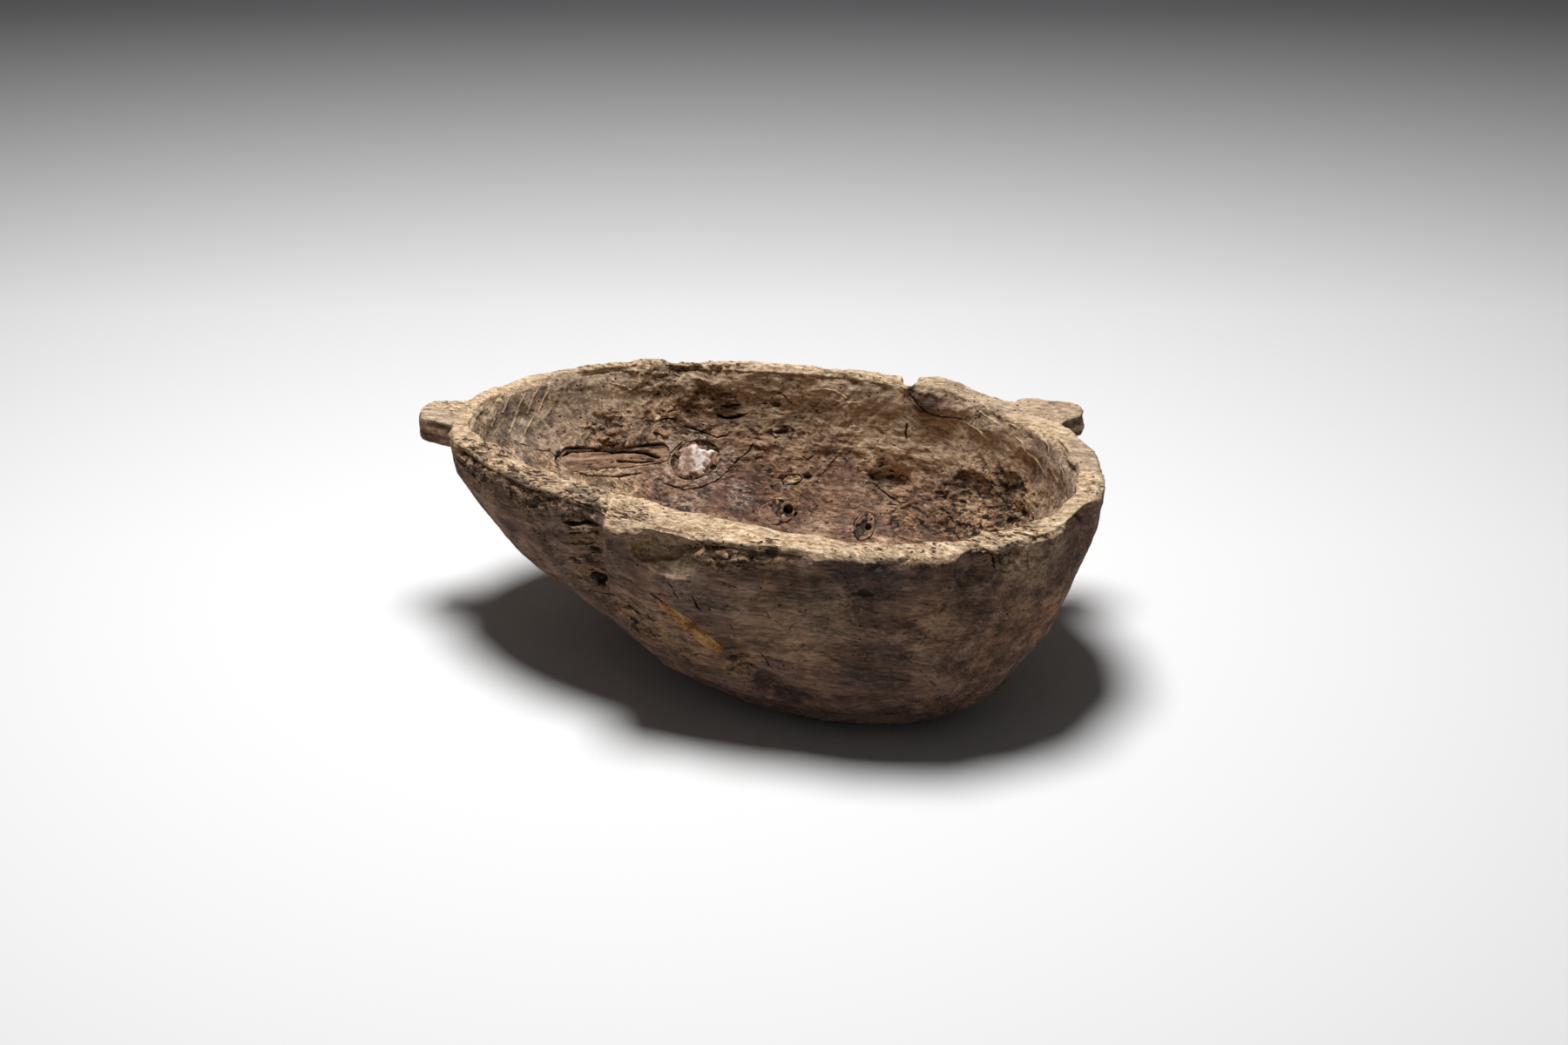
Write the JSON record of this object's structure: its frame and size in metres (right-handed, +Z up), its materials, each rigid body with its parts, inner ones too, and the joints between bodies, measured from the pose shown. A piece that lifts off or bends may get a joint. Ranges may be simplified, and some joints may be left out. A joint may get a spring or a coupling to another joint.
{
  "type": "bowl",
  "caption": "Long oval bowl hollowed from one log, with thick adzed walls, a short square lug at the narrow end, a flat tongue lug beside the wide end, and loose knots in its walls.",
  "frame": {"origin": "on the ground, under the middle of the bowl's overall outline, lugs included", "axes": "+X along the bowl from its narrow end to its wide end, +Y to its thin-walled back, +Z up out of the hollow"},
  "size_m": [0.793, 0.453, 0.255],
  "materials": {
    "old_wood": "adzed, weathered and worm-eaten",
    "knot_wood": "hard, dark, cracked end grain",
    "dried_gum": "hard, glossy dried resin",
    "mineral_crust": "chalky dried lime",
    "rotten_wood": "crumbly decayed wood"
  },
  "bodies": {
    "root": {"bowl_body": "old_wood", "long_knot": "knot_wood", "knot_gum": "dried_gum", "round_knot": "knot_wood", "mineral_crust": "mineral_crust", "floor_knot_front": "knot_wood", "floor_knot_right": "knot_wood", "rot_chip": "rotten_wood", "rot_plug": "rotten_wood"}
  },
  "joints": []
}
